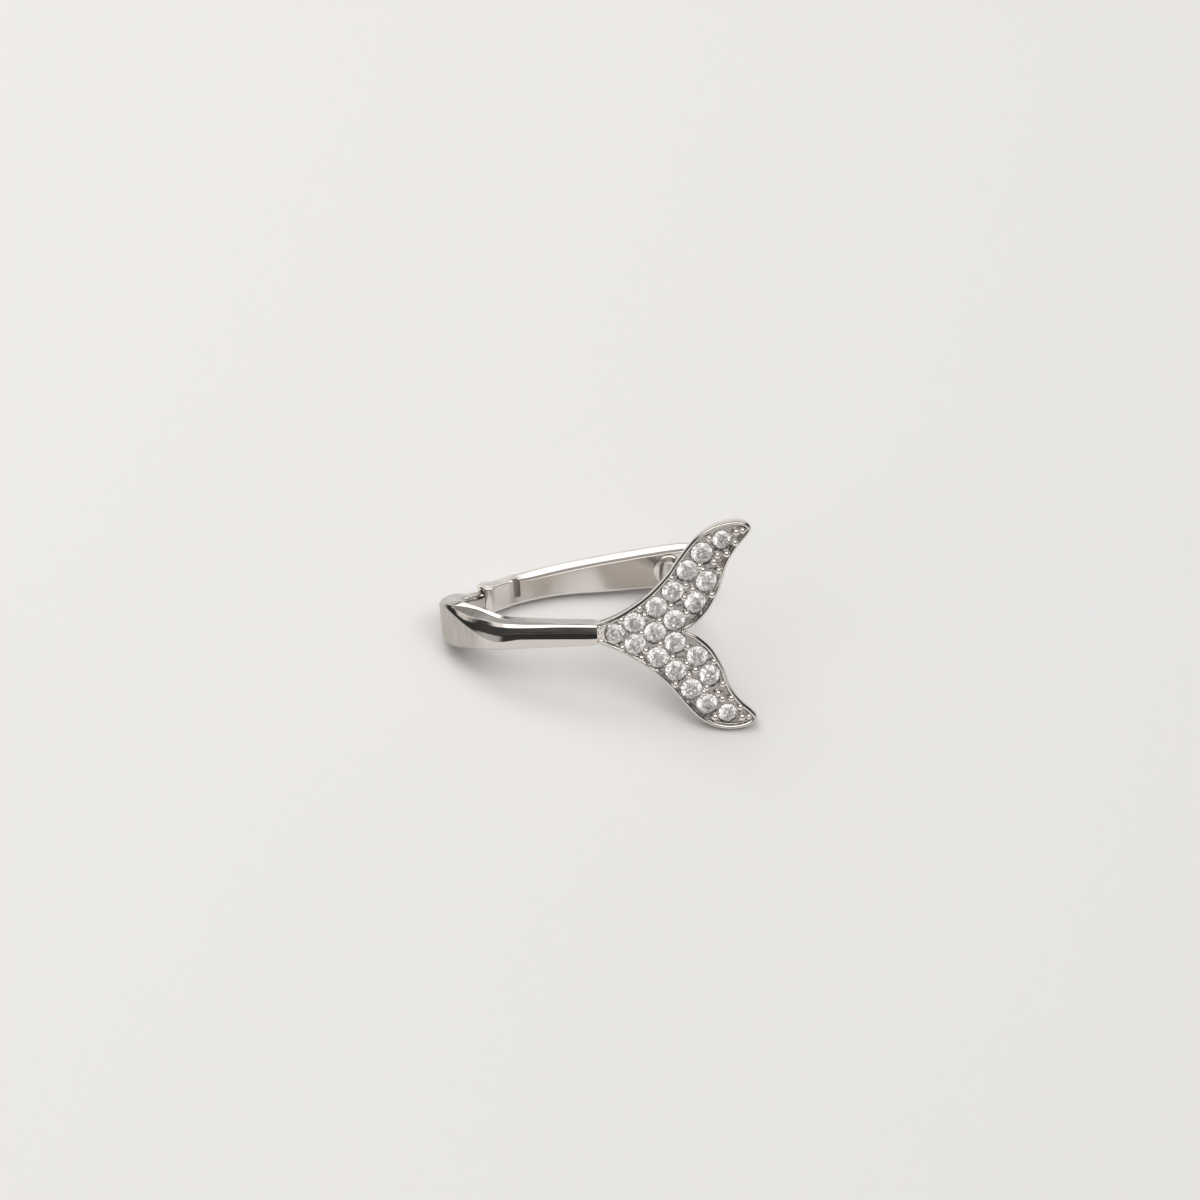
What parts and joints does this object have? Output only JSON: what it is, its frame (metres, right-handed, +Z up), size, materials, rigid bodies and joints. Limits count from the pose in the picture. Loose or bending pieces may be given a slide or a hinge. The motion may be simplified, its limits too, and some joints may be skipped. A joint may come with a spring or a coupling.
{
  "type": "cartilage earring",
  "caption": "Hinged clicker hoop with a stone-set whale tail on the front arm and a straight ear post on the rear arm.",
  "frame": {"origin": "the middle of the underside of the closed hoop as it lies at rest on its side", "axes": "+Z is up, +X runs along the hoop from its bend to the tail's tips, and the post points mostly along -Y"},
  "size_m": [0.013, 0.009, 0.0083],
  "materials": {
    "silver": "mirror polish on rhodium-plated silver",
    "white_stone": "clear faceted stone"
  },
  "bodies": {
    "front": {"tail_arm": "silver", "hinge_pin": "silver", "stone_01": "white_stone", "stone_02": "white_stone", "stone_03": "white_stone", "stone_04": "white_stone", "stone_05": "white_stone", "stone_06": "white_stone", "stone_07": "white_stone", "stone_08": "white_stone", "stone_09": "white_stone", "stone_10": "white_stone", "stone_11": "white_stone", "stone_12": "white_stone", "stone_13": "white_stone", "stone_14": "white_stone", "stone_15": "white_stone", "stone_16": "white_stone", "stone_17": "white_stone", "stone_18": "white_stone", "stone_19": "white_stone", "stone_20": "white_stone"},
    "rear": {"rear_arm": "silver"}
  },
  "joints": [
    {"name": "hinge", "type": "hinge", "parent": "front", "child": "rear", "pos_m": [-0.0044, 0.00124, 0.00071], "axis": [-0.1783, 0.3853, 0.9054], "range_deg": [0, 55]}
  ]
}
